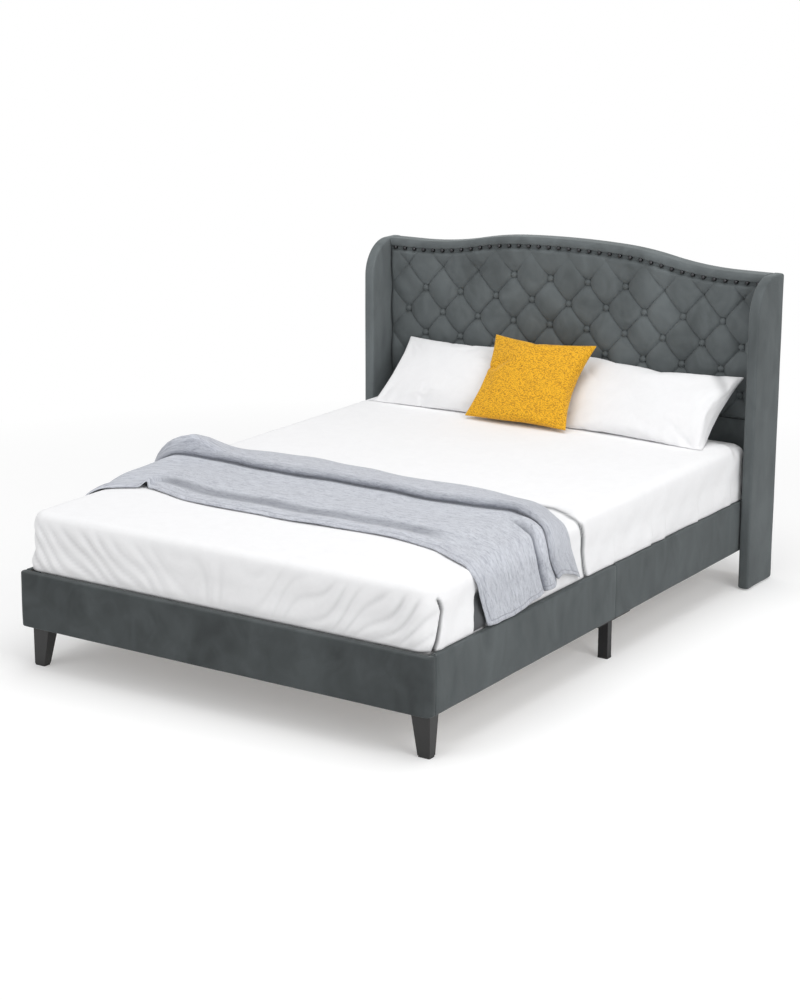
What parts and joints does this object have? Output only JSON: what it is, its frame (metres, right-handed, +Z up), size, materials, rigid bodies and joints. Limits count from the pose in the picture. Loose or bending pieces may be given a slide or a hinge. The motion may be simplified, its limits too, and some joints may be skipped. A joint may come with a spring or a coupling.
{
  "type": "upholstered platform bed",
  "caption": "Upholstered platform bed with a button-tufted camel-back wing headboard, padded rails, a slatted deck on steel centre legs, and made-up bedding that lifts off.",
  "frame": {"origin": "on the floor under the middle of the whole bed's box", "axes": "+Y from the foot to the headboard, +Z up, +X to the right as seen from the foot"},
  "size_m": [1.507, 2.052, 1.0775],
  "materials": {
    "grey_velvet": "short pile velvet with a soft nap",
    "buff_timber": "planed softwood and plywood, unfinished",
    "slat_plywood": "birch plywood, lightly sanded",
    "black_lacquer": "satin black lacquer on solid wood",
    "black_steel": "black powder coat",
    "bolt_steel": "zinc-plated steel",
    "nail_pewter": "dark pewter plate, polished",
    "glide_plastic": "matte black plastic",
    "backing_cloth": "non-woven black dust cloth and webbing",
    "mattress_ticking": "knitted mattress ticking over foam",
    "white_cotton": "plain woven white cotton",
    "mustard_chenille": "ribbed mustard chenille",
    "throw_weave": "soft pale grey weave"
  },
  "bodies": {
    "bed_frame": {"back_cover": "backing_cloth", "beam_hanger_foot": "black_steel", "beam_hanger_head": "black_steel", "centre_beam_front": "black_steel", "centre_beam_rear": "black_steel", "centre_beam_splice": "black_steel", "centre_legs": "black_steel", "corner_block_left": "buff_timber", "corner_block_right": "buff_timber", "corner_bracket_left": "black_steel", "corner_bracket_right": "black_steel", "foot_rail_board": "buff_timber", "foot_rail_cover": "grey_velvet", "frame_bolts": "bolt_steel", "front_leg_left": "black_lacquer", "front_leg_right": "black_lacquer", "head_bracket_left": "black_steel", "head_bracket_right": "black_steel", "headboard_board": "buff_timber", "headboard_border": "grey_velvet", "headboard_cross_rails": "buff_timber", "headboard_stile_left": "buff_timber", "headboard_stile_right": "buff_timber", "headboard_top_rail": "buff_timber", "joint_bracket_left": "black_steel", "joint_bracket_right": "black_steel", "leg_glides": "glide_plastic", "lower_panel": "grey_velvet", "nail_strip": "grey_velvet", "nailheads": "nail_pewter", "side_rail_board_front_left": "buff_timber", "side_rail_board_front_right": "buff_timber", "side_rail_board_rear_left": "buff_timber", "side_rail_board_rear_right": "buff_timber", "side_rail_cover_front_left": "grey_velvet", "side_rail_cover_front_right": "grey_velvet", "side_rail_cover_rear_left": "grey_velvet", "side_rail_cover_rear_right": "grey_velvet", "side_support_leg_left": "black_steel", "side_support_leg_right": "black_steel", "slat_ledger_front_left": "buff_timber", "slat_ledger_front_right": "buff_timber", "slat_ledger_rear_left": "buff_timber", "slat_ledger_rear_right": "buff_timber", "slat_straps": "backing_cloth", "slats": "slat_plywood", "tuft_buttons": "grey_velvet", "tufted_panel": "grey_velvet", "wing_core_left": "buff_timber", "wing_core_right": "buff_timber", "wing_cover_left": "grey_velvet", "wing_cover_right": "grey_velvet", "wing_glides": "glide_plastic"},
    "mattress": {"mattress": "mattress_ticking", "fitted_sheet": "white_cotton"},
    "pillows": {"pillow_left": "white_cotton", "pillow_right": "white_cotton"},
    "accent_cushion": {"accent_cushion": "mustard_chenille"},
    "throw_blanket": {"throw_blanket": "throw_weave"}
  },
  "joints": [
    {"name": "mattress_lift", "type": "slide", "parent": "bed_frame", "child": "mattress", "axis": [0, 0, 1], "range_m": [0, 1]},
    {"name": "pillows_lift", "type": "slide", "parent": "mattress", "child": "pillows", "axis": [0, 0, 1], "range_m": [0, 0.6]},
    {"name": "accent_cushion_lift", "type": "slide", "parent": "pillows", "child": "accent_cushion", "axis": [0, 0, 1], "range_m": [0, 0.6]},
    {"name": "throw_blanket_lift", "type": "slide", "parent": "mattress", "child": "throw_blanket", "axis": [0, 0, 1], "range_m": [0, 0.5]}
  ]
}
